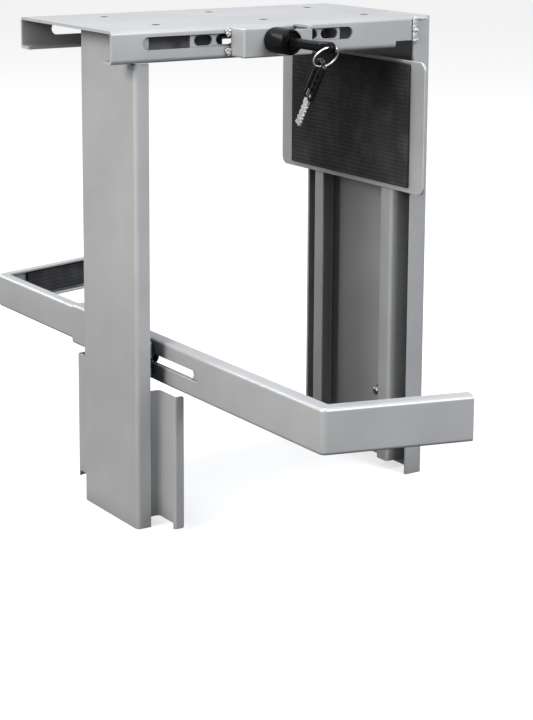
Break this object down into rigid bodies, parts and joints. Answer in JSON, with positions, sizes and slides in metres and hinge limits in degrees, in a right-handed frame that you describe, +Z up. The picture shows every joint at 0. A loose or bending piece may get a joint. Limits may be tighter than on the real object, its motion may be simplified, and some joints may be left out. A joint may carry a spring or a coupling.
{
  "type": "cpu_holder",
  "caption": "Lockable under-desk CPU holder in silver-grey sheet steel: top channel, fixed and sliding arms, hooked bands and push lock with keys",
  "frame": {"origin": "centre of the top channel's upper face, where it meets the underside of the desk", "axes": "+X along the channel from the sliding arm to the fixed arm, -Y front (lock side), +Z up"},
  "size_m": [0.26, 0.5028, 0.34],
  "materials": {
    "powder": "silver-grey satin powder coat",
    "steel": "bright zinc or nickel plated steel",
    "rubber": "black rubber",
    "plastic": "black moulded plastic",
    "weld": "painted weld bead"
  },
  "bodies": {
    "frame": {"top_channel": "powder", "right_arm": "powder", "weld_bead_front": "weld", "weld_bead_rear": "weld", "right_clamp_carrier": "powder", "right_clamp_plate": "powder", "right_clamp_pad": "rubber", "right_stud_upper": "steel", "right_stud_lower": "steel", "right_nut_upper": "steel", "right_nut_lower": "steel", "lock_housing": "powder", "housing_weld_left_upper": "weld", "housing_weld_left_lower": "weld", "housing_weld_right_upper": "weld", "housing_weld_right_lower": "weld", "lock_sleeve": "plastic", "lock_spring": "steel"},
    "sliding_arm": {"slide_rail": "powder", "glide_front": "plastic", "glide_rear": "plastic", "arm_tongue": "powder", "rail_screw_left": "steel", "rail_screw_right": "steel", "left_arm": "powder", "left_clamp_plate": "powder", "clamp_pad_front": "rubber", "clamp_pad_rear": "rubber", "left_stud_upper": "steel", "left_stud_lower": "steel", "left_nut_upper": "steel", "left_nut_lower": "steel"},
    "band_carrier": {"band_bracket": "powder", "band_screw_front": "steel", "band_screw_rear": "steel", "band_nut_front": "steel", "band_nut_rear": "steel", "height_bolt_front": "steel", "height_bolt_rear": "steel", "height_nut_front": "steel", "height_nut_rear": "steel"},
    "front_band": {"front_band": "powder", "front_hook_pad": "rubber"},
    "rear_band": {"rear_band": "powder", "rear_hook_pad": "rubber"},
    "lock_plunger": {"lock_plunger": "plastic", "lock_bolt": "steel"},
    "lock_core": {"lock_core": "steel", "key_blade": "steel", "key_head": "plastic"},
    "key_ring": {"key_ring": "steel"},
    "spare_key": {"spare_key_head": "plastic", "spare_key_blade": "steel"}
  },
  "joints": [
    {"name": "arm_slide", "type": "slide", "parent": "frame", "child": "sliding_arm", "axis": [1, 0, 0], "range_m": [-0.051, 0.051]},
    {"name": "band_height", "type": "slide", "parent": "sliding_arm", "child": "band_carrier", "axis": [0, 0, 1], "range_m": [0, 0.105]},
    {"name": "front_band_slide", "type": "slide", "parent": "band_carrier", "child": "front_band", "axis": [0, 1, 0], "range_m": [-0.056, 0.062]},
    {"name": "rear_band_slide", "type": "slide", "parent": "band_carrier", "child": "rear_band", "axis": [0, 1, 0], "range_m": [-0.056, 0.052]},
    {"name": "lock_push", "type": "slide", "parent": "frame", "child": "lock_plunger", "axis": [0, 1, 0], "range_m": [0, 0.007], "stiffness_N_per_m": 200, "springref_m": -0.01, "deforming": ["lock_spring"]},
    {"name": "key_turn", "type": "hinge", "parent": "lock_plunger", "child": "lock_core", "pos_m": [-0.016, -0.1041, -0.0092], "axis": [0, 1, 0], "range_deg": [0, 90]},
    {"name": "ring_swing", "type": "hinge", "parent": "lock_core", "child": "key_ring", "pos_m": [-0.016, -0.1474, -0.0092], "axis": [1, 0, 0], "range_deg": [-75, 10]},
    {"name": "spare_key_swing", "type": "hinge", "parent": "key_ring", "child": "spare_key", "pos_m": [-0.016, -0.1378, -0.02149], "axis": [1, 0, 0], "range_deg": [-60, 15]}
  ]
}
